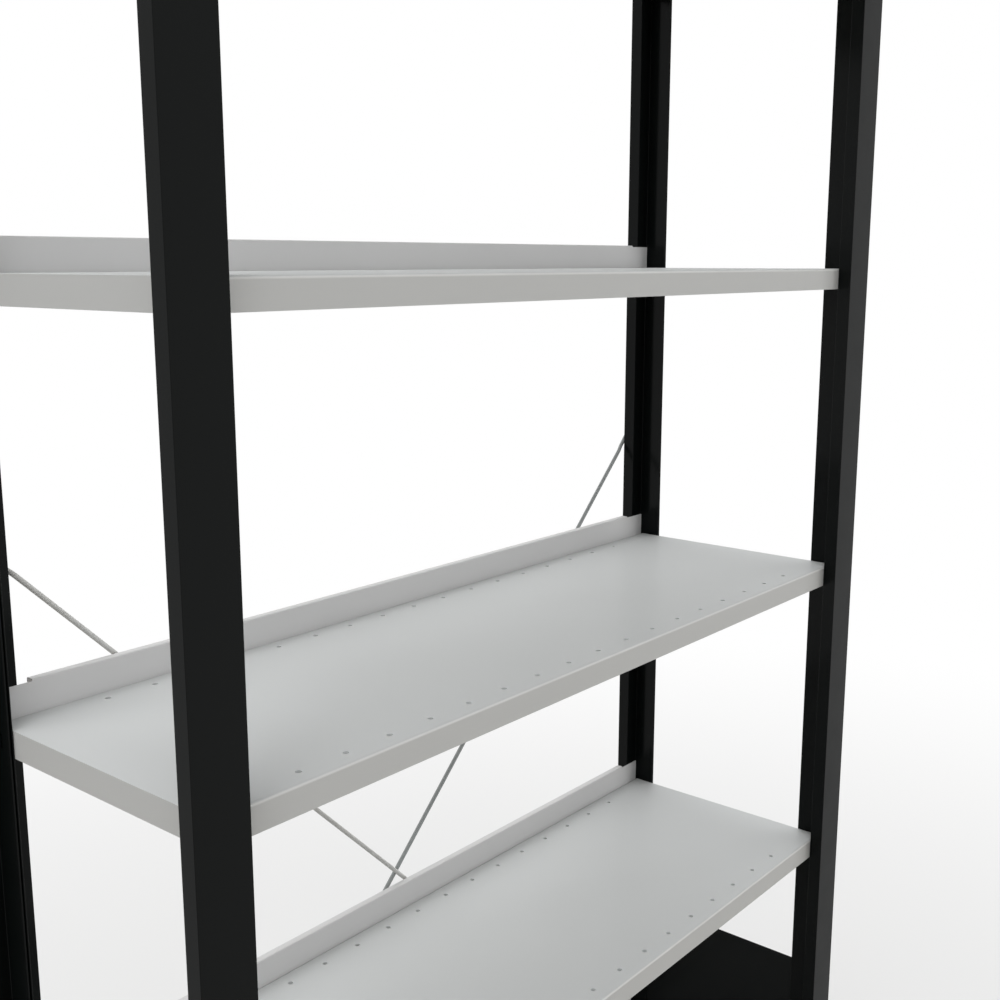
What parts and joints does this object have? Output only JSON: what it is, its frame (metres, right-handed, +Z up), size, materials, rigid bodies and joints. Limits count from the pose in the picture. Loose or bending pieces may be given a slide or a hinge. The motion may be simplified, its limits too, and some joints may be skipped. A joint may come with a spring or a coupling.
{
  "type": "file shelving unit",
  "caption": "Open filing shelves: black T-section steel posts, pale grey lift-off sheet-steel shelves with rear stop strips and rows of divider holes, and a crossed rod brace at the back.",
  "frame": {"origin": "on the floor, under the middle of the unit's outer box", "axes": "+X along the shelves to the right seen from the front, +Y from front to back, +Z up"},
  "size_m": [1.054, 0.3386, 2.05],
  "materials": {
    "black_paint": "satin black powder coat",
    "grey_paint": "semi-matt light grey powder coat",
    "lip_paint": "semi-matt light grey powder coat",
    "zinc": "zinc-plated steel",
    "rod_steel": "dull drawn steel rod",
    "black_plastic": "moulded black plastic"
  },
  "bodies": {
    "frame": {"post_front_left": "black_paint", "post_front_right": "black_paint", "post_rear_left": "black_paint", "post_rear_right": "black_paint", "foot_front_left": "black_plastic", "foot_front_right": "black_plastic", "foot_rear_left": "black_plastic", "foot_rear_right": "black_plastic", "cap_front_left": "black_plastic", "cap_front_right": "black_plastic", "cap_rear_left": "black_plastic", "cap_rear_right": "black_plastic", "side_plate_lower_left": "black_paint", "side_plate_lower_right": "black_paint", "side_plate_upper_left": "black_paint", "side_plate_upper_right": "black_paint", "shelf_clip_1_front_left": "black_paint", "shelf_clip_1_front_right": "black_paint", "shelf_clip_1_rear_left": "black_paint", "shelf_clip_1_rear_right": "black_paint", "shelf_clip_2_front_left": "black_paint", "shelf_clip_2_front_right": "black_paint", "shelf_clip_2_rear_left": "black_paint", "shelf_clip_2_rear_right": "black_paint", "shelf_clip_3_front_left": "black_paint", "shelf_clip_3_front_right": "black_paint", "shelf_clip_3_rear_left": "black_paint", "shelf_clip_3_rear_right": "black_paint", "shelf_clip_4_front_left": "black_paint", "shelf_clip_4_front_right": "black_paint", "shelf_clip_4_rear_left": "black_paint", "shelf_clip_4_rear_right": "black_paint", "shelf_clip_5_front_left": "black_paint", "shelf_clip_5_front_right": "black_paint", "shelf_clip_5_rear_left": "black_paint", "shelf_clip_5_rear_right": "black_paint", "shelf_clip_6_front_left": "black_paint", "shelf_clip_6_front_right": "black_paint", "shelf_clip_6_rear_left": "black_paint", "shelf_clip_6_rear_right": "black_paint", "brace_rod_rising": "rod_steel", "brace_rod_falling": "rod_steel", "brace_screw_lower_left": "zinc", "brace_screw_lower_right": "zinc", "brace_screw_upper_left": "zinc", "brace_screw_upper_right": "zinc"},
    "lift_off_shelf_1": {"shelf_1": "grey_paint", "stop_strip_1": "lip_paint"},
    "lift_off_shelf_2": {"shelf_2": "grey_paint", "stop_strip_2": "lip_paint"},
    "lift_off_shelf_3": {"shelf_3": "grey_paint", "stop_strip_3": "lip_paint"},
    "lift_off_shelf_4": {"shelf_4": "grey_paint", "stop_strip_4": "lip_paint"},
    "lift_off_shelf_5": {"shelf_5": "grey_paint", "stop_strip_5": "lip_paint"},
    "lift_off_shelf_6": {"shelf_6": "grey_paint", "stop_strip_6": "lip_paint"}
  },
  "joints": [
    {"name": "shelf_1_lift", "type": "slide", "parent": "frame", "child": "lift_off_shelf_1", "axis": [0, 0, 1], "range_m": [0, 0.3]},
    {"name": "shelf_2_lift", "type": "slide", "parent": "frame", "child": "lift_off_shelf_2", "axis": [0, 0, 1], "range_m": [0, 0.3]},
    {"name": "shelf_3_lift", "type": "slide", "parent": "frame", "child": "lift_off_shelf_3", "axis": [0, 0, 1], "range_m": [0, 0.3]},
    {"name": "shelf_4_lift", "type": "slide", "parent": "frame", "child": "lift_off_shelf_4", "axis": [0, 0, 1], "range_m": [0, 0.3]},
    {"name": "shelf_5_lift", "type": "slide", "parent": "frame", "child": "lift_off_shelf_5", "axis": [0, 0, 1], "range_m": [0, 0.3]},
    {"name": "shelf_6_lift", "type": "slide", "parent": "frame", "child": "lift_off_shelf_6", "axis": [0, 0, 1], "range_m": [0, 0.3]}
  ]
}
